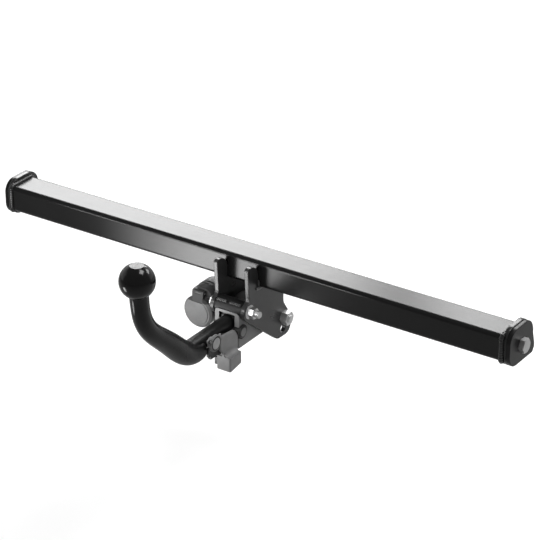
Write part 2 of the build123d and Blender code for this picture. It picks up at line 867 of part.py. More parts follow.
with BuildPart() as contact_pins:
    with BuildSketch(socket_plane(insert_front - contact_stand)):
        Circle(contact_radius)
        with PolarLocations(inner_contact_ring, inner_contacts):
            Circle(contact_radius)
        with PolarLocations(outer_contact_ring, outer_contacts):
            Circle(contact_radius)
        Circle(contact_bore, mode=Mode.SUBTRACT)
        with PolarLocations(inner_contact_ring, inner_contacts):
            Circle(contact_bore, mode=Mode.SUBTRACT)
        with PolarLocations(outer_contact_ring, outer_contacts):
            Circle(contact_bore, mode=Mode.SUBTRACT)
    extrude(amount=-contact_depth)
save(contact_pins.part, "contact_pins")

# Lid with its two hinge cheeks and a raised face
with BuildPart() as socket_lid:
    with BuildSketch(socket_plane(lid_back)):
        Circle(lid_radius)
    extrude(amount=lid_back - lid_front)
    chamfer(socket_lid.faces().sort_by(Axis.Y)[0].edges(), lid_edge)
    with BuildSketch(socket_plane(lid_front)):
        Circle(lid_face_radius)
        with Locations((0, hood_foot - socket_z)):
            Rectangle(2 * lid_face_radius, lid_face_radius, align=(Align.CENTER, Align.MIN), mode=Mode.SUBTRACT)
    extrude(amount=lid_face_step)
    with BuildSketch(Plane.YZ.offset(socket_x - lid_tab_half)):
        Polygon(
            (lid_front, hood_foot),
            (lid_front + hood_lean, hinge_z + hood_lean),
            (lid_front, hinge_z + hood_lean),
            align=None,
        )
    extrude(amount=2 * lid_tab_half, mode=Mode.SUBTRACT)
    with BuildSketch(Plane.YZ.offset(socket_x - lid_tab_half)):
        Polygon(
            (lid_back, hood_foot),
            (lid_front, hood_foot),
            (lid_front + hood_lean, hinge_z + hood_lean),
            (hinge_y - knuckle_radius / 2, hinge_z + knuckle_radius),
            (hinge_y, hinge_z + knuckle_radius),
            (hinge_y, hinge_z),
            (lid_back, hinge_z - knuckle_radius),
            align=None,
        )
        with Locations((hinge_y, hinge_z)):
            Circle(knuckle_radius)
    extrude(amount=2 * lid_tab_half)
    with BuildSketch(Plane.YZ.offset(socket_x - lid_tab_half + knuckle_side - lug_side_gap)):
        with Locations((hinge_y, hinge_z)):
            Circle(knuckle_radius + lug_side_gap)
            Rectangle(2 * knuckle_radius, 2 * knuckle_radius + 2 * lug_side_gap, align=(Align.MIN, Align.CENTER))
    extrude(amount=2 * (lid_tab_half - knuckle_side + lug_side_gap), mode=Mode.SUBTRACT)
    with BuildSketch(Plane.YZ.offset(socket_x - lid_tab_half)):
        with Locations((hinge_y, hinge_z)):
            Circle(hinge_pin_radius + pin_gap)
    extrude(amount=2 * lid_tab_half, mode=Mode.SUBTRACT)
    with BuildSketch(socket_plane(lid_back)):
        Circle(seal_outer)
        Circle(seal_outer - seal_width, mode=Mode.SUBTRACT)
    extrude(amount=seal_depth, mode=Mode.SUBTRACT)
save(socket_lid.part, "socket_lid")

save(
    ring(socket_plane(lid_back - pin_gap), seal_outer - pin_gap, seal_outer - seal_width + pin_gap, seal_depth - 2 * pin_gap),
    "lid_seal",
)

with BuildPart() as lid_hinge_pin:
    with BuildSketch(facing(1, socket_x - lid_tab_half - pin_gap, hinge_y, hinge_z)):
        Circle(hinge_pin_radius)
    extrude(amount=2 * (lid_tab_half + pin_gap))
save(lid_hinge_pin.part, "lid_hinge_pin")


# Socket screws with domed heads, and their nuts behind the bracket
def socket_screw(angle):
    ear = socket_plane(socket_seat).location * PolarLocations(socket_screw_ring, 1, start_angle=angle).locations[0]
    seat = Plane(ear)
    length = bracket_front + bracket_thick - socket_seat + m5_nut + 1
    with BuildPart() as screw:
        with BuildSketch(seat):
            Circle(m5_head_radius)
        extrude(amount=m5_head)
        fillet(screw.faces().sort_by(Axis.Y)[0].edges(), m5_head * 2 / 3)
        with BuildSketch(seat):
            Circle(m5_thread / 2)
        extrude(amount=-length)
    return screw.part


def socket_nut(angle):
    behind = Plane(
        origin=(socket_x, bracket_front + bracket_thick, socket_z), x_dir=(1, 0, 0), z_dir=(0, 1, 0)
    )
    spot = PolarLocations(socket_screw_ring, 1, start_angle=-angle).locations[0]
    return hex_nut(Plane(behind.location * spot), m5_thread, m5_flats, m5_nut)


save(group(socket_screw(angle) for angle in socket_screw_angles), "socket_screws")
save(group(socket_nut(angle) for angle in socket_screw_angles), "socket_nuts")

# Cable gland on the sleeve's end
with BuildPart() as cable_gland:
    with BuildSketch(Plane(origin=(socket_x, sleeve_back, socket_z), x_dir=(1, 0, 0), z_dir=(0, 1, 0))):
        RegularPolygon(gland_flats / 2, 6, major_radius=False)
    extrude(amount=gland_length / 2)
    with BuildSketch(Plane(origin=(socket_x, sleeve_back, socket_z), x_dir=(1, 0, 0), z_dir=(0, 1, 0))):
        Circle(gland_radius)
    extrude(amount=gland_length)
    chamfer(cable_gland.faces().sort_by(Axis.Y)[-1].edges(), gland_radius / 4)
    with BuildSketch(Plane(origin=(socket_x, sleeve_back, socket_z), x_dir=(1, 0, 0), z_dir=(0, 1, 0))):
        Circle(sleeve_radius - sleeve_wall - slide_gap)
    extrude(amount=-gland_length / 2)
    with BuildSketch(Plane(origin=(socket_x, sleeve_back, socket_z), x_dir=(1, 0, 0), z_dir=(0, 1, 0))):
        Circle(gland_bore)
    extrude(amount=gland_length, both=True, mode=Mode.SUBTRACT)
save(cable_gland.part, "cable_gland")
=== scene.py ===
import math

import bmesh
import bpy
from mathutils import Matrix, Vector


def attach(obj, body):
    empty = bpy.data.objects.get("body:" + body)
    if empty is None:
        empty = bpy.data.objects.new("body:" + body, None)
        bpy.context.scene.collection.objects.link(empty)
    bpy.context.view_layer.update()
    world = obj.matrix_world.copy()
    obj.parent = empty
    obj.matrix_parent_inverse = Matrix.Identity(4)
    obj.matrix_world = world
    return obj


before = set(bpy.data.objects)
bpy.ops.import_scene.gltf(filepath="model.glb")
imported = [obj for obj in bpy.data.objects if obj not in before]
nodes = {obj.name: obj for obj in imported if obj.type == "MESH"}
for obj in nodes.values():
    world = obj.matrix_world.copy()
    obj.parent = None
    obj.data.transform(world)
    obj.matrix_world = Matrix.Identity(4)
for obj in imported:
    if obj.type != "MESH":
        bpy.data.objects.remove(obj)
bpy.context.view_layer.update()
scene = bpy.context.scene
MM = 0.001
WHITE = (1, 1, 1, 1)


# Camera: the photograph's viewing angle and framing
AZIMUTH = 0.595077
ELEVATION = 0.467674
LENS_PIXELS = 2400.0
FRAME_PIXELS = 540.0
SENSOR = 36.0
FARTHEST = 50.0
SHIFT_RIGHT = -26.576 * MM
SHIFT_UP = 10.007 * MM
DISTANCE = 3396.753 * MM


def add_camera():
    right = Vector((math.cos(AZIMUTH), math.sin(AZIMUTH), 0))
    forward = Vector(
        (
            -math.sin(AZIMUTH) * math.cos(ELEVATION),
            math.cos(AZIMUTH) * math.cos(ELEVATION),
            -math.sin(ELEVATION),
        )
    )
    up = right.cross(forward)
    data = bpy.data.cameras.new("camera")
    data.sensor_width = SENSOR
    data.lens = LENS_PIXELS / FRAME_PIXELS * SENSOR
    data.clip_end = FARTHEST
    camera = bpy.data.objects.new("camera", data)
    scene.collection.objects.link(camera)
    turn = Matrix((right, up, -forward)).transposed().to_4x4()
    place = -right * SHIFT_RIGHT - up * SHIFT_UP - forward * DISTANCE
    camera.matrix_world = Matrix.Translation(place) @ turn
    scene.camera = camera


# Shader helpers: the clouds of a noise lie between these two of its values
CLOUD_LOW = 0.3
CLOUD_HIGH = 0.7
GRAIN_DETAIL = 3.0
EDGE_SAMPLES = 6


def node_tree(name):
    material = bpy.data.materials.new(name)
    material.use_nodes = True
    tree = material.node_tree
    shader = tree.nodes["Principled BSDF"]
    return material, tree, shader


def object_place(tree):
    """Outputs X, Y and Z: the place on the object at rest, in metres."""
    place = tree.nodes.new("ShaderNodeTexCoord")
    parts = tree.nodes.new("ShaderNodeSeparateXYZ")
    tree.links.new(place.outputs["Object"], parts.inputs["Vector"])
    return parts.outputs


def noise(tree, rate, detail):
    place = tree.nodes.new("ShaderNodeTexCoord")
    texture = tree.nodes.new("ShaderNodeTexNoise")
    texture.inputs["Scale"].default_value = rate
    texture.inputs["Detail"].default_value = detail
    tree.links.new(place.outputs["Object"], texture.inputs["Vector"])
    return texture.outputs["Fac"]


def calculate(tree, operation, first, second=0.0):
    """One arithmetic node; each input is another node's output or a number."""
    node = tree.nodes.new("ShaderNodeMath")
    node.operation = operation
    for slot, value in enumerate((first, second)):
        if isinstance(value, (int, float)):
            node.inputs[slot].default_value = value
        else:
            tree.links.new(value, node.inputs[slot])
    return node.outputs["Value"]


def map_range(tree, value, start, end, low=0.0, high=1.0, kind="LINEAR"):
    """Low where the value is at its start, high at its end, and in between by the kind of step."""
    band = tree.nodes.new("ShaderNodeMapRange")
    band.interpolation_type = kind
    band.inputs["From Min"].default_value = start
    band.inputs["From Max"].default_value = end
    band.inputs["To Min"].default_value = low
    band.inputs["To Max"].default_value = high
    tree.links.new(value, band.inputs["Value"])
    return band.outputs["Result"]


def clouded(tree, clouds, low, high):
    """A colour that goes from low to high with the clouds."""
    blend = tree.nodes.new("ShaderNodeValToRGB")
    blend.color_ramp.elements[0].position = CLOUD_LOW
    blend.color_ramp.elements[0].color = (*low, 1)
    blend.color_ramp.elements[1].position = CLOUD_HIGH
    blend.color_ramp.elements[1].color = (*high, 1)
    tree.links.new(clouds, blend.inputs["Fac"])
    return blend.outputs["Color"]


def relief(tree, factor, height, edge, strength=0.6):
    """Bumps of this height on a surface whose edges look rounded by this radius."""
    bump = tree.nodes.new("ShaderNodeBump")
    bump.inputs["Strength"].default_value = strength
    bump.inputs["Distance"].default_value = height
    tree.links.new(factor, bump.inputs["Height"])
    rounded = tree.nodes.new("ShaderNodeBevel")
    rounded.samples = EDGE_SAMPLES
    rounded.inputs["Radius"].default_value = edge
    tree.links.new(rounded.outputs["Normal"], bump.inputs["Normal"])
    return bump.outputs["Normal"]


def roughen(tree, shader, wear, rough, smudges):
    roughness = map_range(tree, wear, CLOUD_LOW, CLOUD_HIGH, rough - smudges, rough + smudges)
    tree.links.new(roughness, shader.inputs["Roughness"])


def grain_surface(tree, shader, grain, height, edge, gloss):
    """A fine grain, soft edges and the strength of the gloss."""
    grit = noise(tree, grain, GRAIN_DETAIL)
    tree.links.new(relief(tree, grit, height, edge), shader.inputs["Normal"])
    shader.inputs["Specular IOR Level"].default_value = gloss


def distance_from(tree, first, second, centre):
    """Distance of two parts of the place from a centre that is given by the same two."""
    across = calculate(tree, "POWER", calculate(tree, "SUBTRACT", first, centre[0]), 2.0)
    above = calculate(tree, "POWER", calculate(tree, "SUBTRACT", second, centre[1]), 2.0)
    return calculate(tree, "SQRT", calculate(tree, "ADD", across, above))


def grey(value):
    return (value, value, value)


DARK_CLOUDS = 0.20
LIGHT_CLOUDS = 0.15


def two_tones(tree, shader, choice, clouds, dark, light):
    """Dark where the choice is 0 and light where it is 1, each with its own clouds.

    The mix node's colours are its inputs 6 and 7 and its output 2.
    """
    mix = tree.nodes.new("ShaderNodeMix")
    mix.data_type = "RGBA"
    dark_range = (grey(dark * (1 - DARK_CLOUDS)), grey(dark * (1 + DARK_CLOUDS)))
    light_range = (grey(light * (1 - LIGHT_CLOUDS)), grey(light * (1 + LIGHT_CLOUDS)))
    tree.links.new(choice, mix.inputs["Factor"])
    tree.links.new(clouded(tree, clouds, *dark_range), mix.inputs[6])
    tree.links.new(clouded(tree, clouds, *light_range), mix.inputs[7])
    tree.links.new(mix.outputs[2], shader.inputs["Base Color"])


# Plain finishes: broad clouds in the tone, smudges in the roughness, a fine grain and soft edges
TONE_RATE = 24.0
TONE_DETAIL = 5.0
WEAR_RATE = 60.0
WEAR_DETAIL = 6.0


def finish(name, tone, clouds, rough, smudges, grain, height, edge, gloss=0.5, metallic=0.0):
    material, tree, shader = node_tree(name)
    low = tuple(part * (1 - clouds) for part in tone)
    high = tuple(min(part * (1 + clouds), 1.0) for part in tone)
    colour = clouded(tree, noise(tree, TONE_RATE, TONE_DETAIL), low, high)
    tree.links.new(colour, shader.inputs["Base Color"])
    roughen(tree, shader, noise(tree, WEAR_RATE, WEAR_DETAIL), rough, smudges)
    grain_surface(tree, shader, grain, height, edge, gloss)
    shader.inputs["Metallic"].default_value = metallic
    return material


def paint(name, tone, rough, gloss, edge, clouds=0.25, smudges=0.02, grain=1100, height=0.02 * MM):
    return finish(name, grey(tone), clouds, rough, smudges, grain, height, edge, gloss)


def plastic(name, tone, clouds, rough, gloss, smudges=0.05, grain=1700, height=0.05 * MM, edge=0.6 * MM):
    return finish(name, grey(tone), clouds, rough, smudges, grain, height, edge, gloss)


def metal(name, tone, clouds, rough, smudges, grain=1500, height=0.02 * MM, edge=0.4 * MM, metallic=1.0):
    return finish(name, tone, clouds, rough, smudges, grain, height, edge, metallic=metallic)


tube_paint = paint(
    "black_paint", 0.003, rough=0.26, gloss=0.28, edge=1.0 * MM, smudges=0.006, grain=900, height=0.003 * MM
)
plate_paint = paint(
    "plate_paint", 0.016, rough=0.30, gloss=0.38, edge=1.8 * MM, smudges=0.03, height=0.03 * MM
)
flange_paint = paint("flange_paint", 0.007, rough=0.28, gloss=0.45, edge=1.6 * MM)
end_paint = paint("end_paint", 0.006, rough=0.30, gloss=0.20, edge=1.2 * MM)
bead_paint = paint("bead_paint", 0.008, rough=0.26, gloss=0.5, edge=0.4 * MM, grain=700, height=0.05 * MM)
# the seam's light grey, well above the plates' tone, is a painted highlight where it catches the light
seam_painted_highlight = paint(
    "weld_painted_highlight", 0.10, rough=0.38, gloss=0.5, edge=0.4 * MM, clouds=0.2, smudges=0.05, grain=900,
    height=0.06 * MM,
)
dark_plastic = plastic("dark_plastic", 0.024, clouds=0.15, rough=0.45, gloss=0.3)
housing_plastic = plastic("housing_plastic", 0.045, clouds=0.15, rough=0.42, gloss=0.3)
black_plastic = plastic("black_plastic", 0.014, clouds=0.20, rough=0.40, gloss=0.5)
rubber = plastic(
    "black_rubber", 0.02, clouds=0.20, rough=0.70, gloss=0.5, grain=1400, height=0.06 * MM, edge=0.5 * MM
)
zinc = metal("zinc", grey(0.48), clouds=0.12, rough=0.44, smudges=0.07)
dark_steel = metal(
    "dark_steel", grey(0.12), clouds=0.10, rough=0.40, smudges=0.06, grain=1200, height=0.03 * MM,
    metallic=0.8,
)
brass = metal("contact_brass", (0.62, 0.46, 0.22), clouds=0.10, rough=0.30, smudges=0.05, edge=0.3 * MM)


# Lid: darker on its hood, above the hood's foot
HOOD_FOOT = -58.5 * MM
HOOD_TONE = 0.026
LID_TONE = 0.115


def lid_finish():
    material, tree, shader = node_tree("lid_plastic")
    face = calculate(tree, "LESS_THAN", object_place(tree)["Z"], HOOD_FOOT)
    clouds = noise(tree, rate=60, detail=4)
    two_tones(tree, shader, face, clouds, dark=HOOD_TONE, light=LID_TONE)
    roughen(tree, shader, clouds, rough=0.60, smudges=0.05)
    grain_surface(tree, shader, grain=1700, height=0.05 * MM, edge=0.6 * MM, gloss=0.25)
    return material


# Neck: glossy at the ball and more matt along the arm, with turned rings on the ball's flat
BALL_Y = -265.0 * MM
FLAT_Z = 105.5 * MM
RING_RATE = 4200.0
GLOSSY_Y = -215.0 * MM
GLOSSY_ROUGH = 0.12
MATT_Y = -150.0 * MM
MATT_ROUGH = 0.36
NECK_LOW_TONE = 0.003
NECK_HIGH_TONE = 0.005
NECK_GLOSS = 0.24
NECK_SMUDGES = 0.04
NECK_GRIT = 0.2


def neck_finish():
    material, tree, shader = node_tree("neck_paint")
    parts = object_place(tree)
    clouds = noise(tree, rate=60, detail=5)
    colour = clouded(tree, clouds, grey(NECK_LOW_TONE), grey(NECK_HIGH_TONE))
    tree.links.new(colour, shader.inputs["Base Color"])
    rough = map_range(tree, parts["Y"], GLOSSY_Y, MATT_Y, GLOSSY_ROUGH, MATT_ROUGH)
    worn = calculate(tree, "ADD", rough, calculate(tree, "MULTIPLY", clouds, NECK_SMUDGES))
    tree.links.new(worn, shader.inputs["Roughness"])
    distance = distance_from(tree, parts["X"], parts["Y"], (0.0, BALL_Y))
    rings = calculate(tree, "SINE", calculate(tree, "MULTIPLY", distance, RING_RATE))
    turned = calculate(tree, "MULTIPLY", rings, calculate(tree, "GREATER_THAN", parts["Z"], FLAT_Z))
    grit = calculate(tree, "MULTIPLY", noise(tree, rate=900, detail=GRAIN_DETAIL), NECK_GRIT)
    bumps = calculate(tree, "ADD", turned, grit)
    tree.links.new(relief(tree, bumps, height=0.03 * MM, edge=0.6 * MM), shader.inputs["Normal"])
    shader.inputs["Specular IOR Level"].default_value = NECK_GLOSS
    return material


# Receiver: grey on its sides and front rim, rough black on the boss and the top, and black inside the
# channel as painted shade
BOSS_Y = -46.3 * MM
BOSS_Z = -49.8 * MM
BOSS_RADIUS = 13.4 * MM
RIM_Y = -60.8 * MM
RIM_SHARE = 0.8
SIDE_X = 19.4 * MM


def receiver_finish():
    material, tree, shader = node_tree("receiver_paint_and_painted_shade")
    parts = object_place(tree)
    distance = distance_from(tree, parts["Y"], parts["Z"], (BOSS_Y, BOSS_Z))
    off_boss = calculate(tree, "GREATER_THAN", distance, BOSS_RADIUS)
    on_side = calculate(tree, "GREATER_THAN", calculate(tree, "ABSOLUTE", parts["X"]), SIDE_X)
    on_rim = calculate(tree, "LESS_THAN", parts["Y"], RIM_Y)
    faint_rim = calculate(tree, "MULTIPLY", on_rim, RIM_SHARE)
    # where this mask is 0 the receiver is black: on the boss and the top, and inside the channel as painted
    # shade
    grey_unshaded_mask = calculate(tree, "MAXIMUM", faint_rim, calculate(tree, "MULTIPLY", off_boss, on_side))
    clouds = noise(tree, rate=40, detail=5)
    two_tones(tree, shader, grey_unshaded_mask, clouds, dark=0.004, light=0.20)
    roughen(tree, shader, clouds, rough=0.45, smudges=0.05)
    grain_surface(tree, shader, grain=500, height=0.2 * MM, edge=0.8 * MM, gloss=0.2)
    return material


# Cross pin: a turned steel core with near black faces round it
PIN_Y = -54.0 * MM
PIN_Z = -80.0 * MM
PIN_CORE = 6.3 * MM
PIN_RING_RATE = 9000.0


def pin_finish():
    material, tree, shader = node_tree("pin_faces")
    parts = object_place(tree)
    distance = distance_from(tree, parts["Y"], parts["Z"], (PIN_Y, PIN_Z))
    core = calculate(tree, "LESS_THAN", distance, PIN_CORE)
    clouds = noise(tree, rate=200, detail=4)
    two_tones(tree, shader, core, clouds, dark=0.012, light=0.13)
    roughen(tree, shader, clouds, rough=0.44, smudges=0.06)
    rings = calculate(tree, "SINE", calculate(tree, "MULTIPLY", distance, PIN_RING_RATE))
    turned = relief(tree, rings, height=0.02 * MM, edge=0.6 * MM, strength=0.4)
    tree.links.new(turned, shader.inputs["Normal"])
    return material


# Lever: grey, with painted shade on its recessed left side behind the grip
LEVER_SHADE_X = 7.2 * MM


def lever_finish():
    material, tree, shader = node_tree("lever_paint_and_painted_shade")
    unshaded_side = calculate(tree, "GREATER_THAN", object_place(tree)["X"], LEVER_SHADE_X)
    clouds = noise(tree, rate=60, detail=5)
    # the near black on the left side, behind the grip, is painted shade
    two_tones(tree, shader, unshaded_side, clouds, dark=0.012, light=0.13)
    roughen(tree, shader, clouds, rough=0.45, smudges=0.05)
    grain_surface(tree, shader, grain=1500, height=0.05 * MM, edge=0.8 * MM, gloss=0.8)
    return material


# Lock cover: a light face with painted shade in the groove round it, a grey rim, and near black beyond the
# rim over the ear
LOCK_Y = -118.0 * MM
LOCK_Z = -70.0 * MM
COVER_FACE = 8.4 * MM
COVER_GROOVE = 10.4 * MM
COVER_RIM = 12.1 * MM
COVER_RIM_SHARE = 0.5


def cover_finish():
    material, tree, shader = node_tree("cover_plastic_and_painted_shade")
    parts = object_place(tree)
    distance = distance_from(tree, parts["Y"], parts["Z"], (LOCK_Y, LOCK_Z))
    face = calculate(tree, "LESS_THAN", distance, COVER_FACE)
    past_groove = calculate(tree, "GREATER_THAN", distance, COVER_GROOVE)
    rim = calculate(tree, "MULTIPLY", past_groove, calculate(tree, "LESS_THAN", distance, COVER_RIM))
    pale = calculate(tree, "MAXIMUM", face, calculate(tree, "MULTIPLY", rim, COVER_RIM_SHARE))
    clouds = noise(tree, rate=90, detail=4)
    # the near black in the groove between face and rim is painted shade
    two_tones(tree, shader, pale, clouds, dark=0.008, light=0.26)
    roughen(tree, shader, clouds, rough=0.47, smudges=0.05)
    grain_surface(tree, shader, grain=1700, height=0.05 * MM, edge=0.6 * MM, gloss=0.5)
    return material


node_finish = {
    "crossbar_tube": tube_paint,
    "end_flange_left": flange_paint,
    "end_flange_right": flange_paint,
    "end_plate_left": end_paint,
    "end_plate_right": end_paint,
    "end_bolts": zinc,
    "end_nuts": zinc,
    "side_plate_left": plate_paint,
    "side_plate_right": plate_paint,
    "receiver_body": receiver_finish(),
    "rear_spacer": zinc,
    "front_bolt": zinc,
    "front_flange_nut": zinc,
    "rear_bolt": zinc,
    "rear_nut": zinc,
    "rear_washer": zinc,
    "socket_bracket": plate_paint,
    "socket_gasket": rubber,
    "socket_housing": housing_plastic,
    "contact_insert": dark_plastic,
    "contact_pins": brass,
    "lid_hinge_pin": zinc,
    "socket_screws": zinc,
    "socket_nuts": zinc,
    "cable_gland": dark_plastic,
    "swan_neck": neck_finish(),
    "cross_pin": pin_finish(),
    "latch_housing": black_plastic,
    "release_lever": lever_finish(),
    "lever_shaft": black_plastic,
    "cover_screw": dark_steel,
    "lock_barrel": brass,
    "lock_cover": cover_finish(),
    "socket_lid": lid_finish(),
    "lid_seal": rubber,
}


def dress_nodes():
    for name, material in node_finish.items():
        piece = nodes[name]
        piece.data.materials.clear()
        piece.data.materials.append(material)


# Added pieces: weld beads, the front bolt's thread, rings round the cross pin, ridges on the socket
def add_piece(name, shape, material, body):
    """A smooth piece of the finished shape, riding on its body."""
    bmesh.ops.recalc_face_normals(shape, faces=shape.faces)
    mesh = bpy.data.meshes.new(name)
    shape.to_mesh(mesh)
    shape.free()
    for face in mesh.polygons:
        face.use_smooth = True
    mesh.materials.append(material)
    piece = bpy.data.objects.new(name, mesh)
    scene.collection.objects.link(piece)
    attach(piece, body)


def even_steps(points, pitch, closed):
    """Points along a route, the same short step apart."""
    route = [Vector(point) for point in points]
    if closed:
        route.append(route[0])
    lengths = [(b - a).length for a, b in zip(route, route[1:])]
    count = max(int(sum(lengths) / pitch), 4)
    steps = []
    for number in range(count if closed else count + 1):
        left = sum(lengths) * number / count
        leg = 0
        while leg < len(lengths) - 1 and left > lengths[leg]:
            left -= lengths[leg]
            leg += 1
        steps.append(route[leg].lerp(route[leg + 1], min(left / lengths[leg], 1.0)))
    return steps


# Beads: a round bar in short steps, with this many sides, and with narrow tips where it is open
BEAD_SIDES = 10
BEAD_TIP = 0.4
RIPPLE_STEPS = 4
STEEP = 0.9


def route_direction(centres, number, closed):
    """The route's direction at one of its points, from the point before to the point after."""
    last = len(centres) - 1
    after = centres[(number + 1) % len(centres)] if closed or number < last else centres[number]
    before = centres[number - 1] if closed or number else centres[number]
    return (after - before).normalized()


def bead_ring(shape, centre, ahead, reach):
    """The bar's corners round one point of the route."""
    beside = ahead.orthogonal() if abs(ahead.x) > STEEP else ahead.cross(Vector((1, 0, 0)))
    side = beside.normalized()
    up = ahead.cross(side)
    ring = []
    for corner in range(BEAD_SIDES):
        turn = 2 * math.pi * corner / BEAD_SIDES
        ring.append(shape.verts.new(centre + (side * math.cos(turn) + up * math.sin(turn)) * reach))
    return ring


def weld(name, points, radius, material, body="vehicle_frame", closed=False, ripple=3.0 * MM, depth=0.22):
    """A weld bead: a round bar along the route whose radius swells at every ripple."""
    centres = even_steps(points, ripple / RIPPLE_STEPS, closed)
    tips = () if closed else (0, len(centres) - 1)
    shape = bmesh.new()
    rings = []
    for number, centre in enumerate(centres):
        swell = 1 - depth * (number % RIPPLE_STEPS) / (RIPPLE_STEPS - 1)
        reach = radius * (BEAD_TIP if number in tips else swell)
        rings.append(bead_ring(shape, centre, route_direction(centres, number, closed), reach))
    pairs = list(zip(rings, rings[1:]))
    if closed:
        pairs.append((rings[-1], rings[0]))
    for first, second in pairs:
        for corner in range(BEAD_SIDES):
            follow = (corner + 1) % BEAD_SIDES
            shape.faces.new((first[corner], first[follow], second[follow], second[corner]))
    if not closed:
        shape.faces.new(rings[0])
        shape.faces.new(list(reversed(rings[-1])))
    add_piece(name, shape, material, body)


# Welds: round the tube's ends, along the side plates and on the boss
TUBE_END = 418.0 * MM
TUBE_HALF_DEPTH = 25.0 * MM
TUBE_HALF_HEIGHT = 20.0 * MM
TUBE_CORNER = 6.0 * MM
CORNER_STEPS = 4
PLATE_OUTER = 29.15 * MM
END_WELD_INSET = 0.5 * MM
END_WELD_RADIUS = 4.0 * MM
END_WELD_RIPPLE = 3.6 * MM
SEAM_STAND = 0.7 * MM
PLATE_STAND = 0.9 * MM
HORN_WELD_TOP = -8.0 * MM
HORN_WELD_FOOT = -19.0 * MM
HORN_WELD_RADIUS = 2.0 * MM
PLATE_WELD_START = 4.0 * MM
PLATE_WELD_DROP = 1.0 * MM
PLATE_WELD_BEND = 7.0 * MM
PLATE_WELD_BACK = 30.0 * MM
PLATE_WELD_RADIUS = 2.6 * MM
BOSS_WELD_TURN = math.radians(52)
BOSS_WELD_REACH = 13.0 * MM
BOSS_WELD_RADIUS = 2.9 * MM
BOSS_WELD_RIPPLE = 2.6 * MM
BOSS_WELD_DEPTH = 0.4
BOSS_WELDS = {"left": (-21.0 * MM, -3.0 * MM), "right": (1.0 * MM, 21.0 * MM)}


def tube_outline(x):
    """Points round the tube's section, with its rounded corners."""
    points = []
    for corner, (across, above) in enumerate(((1, 1), (-1, 1), (-1, -1), (1, -1))):
        for part in range(CORNER_STEPS + 1):
            turn = math.radians(90 * corner + 90 * part / CORNER_STEPS)
            y = across * (TUBE_HALF_DEPTH - TUBE_CORNER) + TUBE_CORNER * math.cos(turn)
            z = above * (TUBE_HALF_HEIGHT - TUBE_CORNER) + TUBE_CORNER * math.sin(turn)
            points.append((x, y, z))
    return points


def add_tube_welds():
    front = -TUBE_HALF_DEPTH - SEAM_STAND
    under = -TUBE_HALF_HEIGHT - SEAM_STAND
    seam_start = (front - PLATE_WELD_START, -TUBE_HALF_HEIGHT - PLATE_WELD_DROP)
    for side, hand in ((1, "right"), (-1, "left")):
        ends = tube_outline(side * (TUBE_END - END_WELD_INSET))
        weld(f"end_weld_{hand}", ends, END_WELD_RADIUS, bead_paint, closed=True, ripple=END_WELD_RIPPLE)
        outer = side * (PLATE_OUTER + PLATE_STAND)
        upright = [(outer, front, HORN_WELD_TOP), (outer, front, HORN_WELD_FOOT)]
        weld(f"horn_weld_{hand}", upright, HORN_WELD_RADIUS, plate_paint)
        seam = [
            (outer, *seam_start),
            (outer, front + PLATE_WELD_BEND, under),
            (outer, PLATE_WELD_BACK, under),
        ]
        # this seam's light grey is a painted highlight
        weld(f"plate_weld_{hand}", seam, PLATE_WELD_RADIUS, seam_painted_highlight)


def add_boss_welds():
    y = BOSS_Y - BOSS_WELD_REACH * math.cos(BOSS_WELD_TURN)
    z = BOSS_Z + BOSS_WELD_REACH * math.sin(BOSS_WELD_TURN)
    for hand, (start, end) in BOSS_WELDS.items():
        weld(
            f"boss_weld_{hand}", [(start, y, z), (end, y, z)], BOSS_WELD_RADIUS, bead_paint,
            ripple=BOSS_WELD_RIPPLE, depth=BOSS_WELD_DEPTH,
        )


# Front bolt's thread: a three-sided ridge wound round the end of its shank
THREAD_START = 40.0 * MM
THREAD_END = 46.2 * MM
THREAD_RADIUS = 5.0 * MM
THREAD_PITCH = 1.5 * MM
THREAD_HEIGHT = 0.3 * MM
THREAD_SINK = 0.04 * MM
THREAD_FLANK = 0.42
THREAD_STEPS = 24


def add_thread():
    turns = (THREAD_END - THREAD_START) / THREAD_PITCH
    root = THREAD_RADIUS - THREAD_SINK
    shape = bmesh.new()
    rows = []
    for number in range(int(turns * THREAD_STEPS) + 1):
        turn = 2 * math.pi * number / THREAD_STEPS
        row = []
        for shift, reach in ((-THREAD_FLANK, root), (0.0, root + THREAD_HEIGHT), (THREAD_FLANK, root)):
            x = THREAD_START + THREAD_PITCH * (number / THREAD_STEPS + shift)
            y = BOSS_Y + reach * math.cos(turn)
            z = BOSS_Z + reach * math.sin(turn)
            row.append(shape.verts.new((x, y, z)))
        rows.append(row)
    for first, second in zip(rows, rows[1:]):
        for flank in range(2):
            shape.faces.new((first[flank], first[flank + 1], second[flank + 1], second[flank]))
    add_piece("front_thread", shape, zinc, "vehicle_frame")


# Seal rings round the cross pin's ends
PIN_RING_X = 21.4 * MM
PIN_RING_RADIUS = 9.7 * MM
PIN_RING_BAR = 1.25 * MM
PIN_RING_STEPS = 32


def add_pin_rings():
    for side, hand in ((1, "right"), (-1, "left")):
        points = []
        for number in range(PIN_RING_STEPS):
            turn = 2 * math.pi * number / PIN_RING_STEPS
            y = PIN_Y + PIN_RING_RADIUS * math.cos(turn)
            z = PIN_Z + PIN_RING_RADIUS * math.sin(turn)
            points.append((side * PIN_RING_X, y, z))
        weld(f"pin_ring_{hand}", points, PIN_RING_BAR, rubber, body="ball_bar", closed=True, depth=0.0)


# Ridges over the socket's hump, from one flank to the other
SOCKET_X = -60.0 * MM
HUMP_TOP = -40.5 * MM
HUMP_HALF = 17.0 * MM
HUMP_CORNER = 12.0 * MM
HUMP_STEPS = 6
RIDGE_BAR = 0.9 * MM
RIDGES = {"front": -22.5 * MM, "rear": -16.0 * MM}


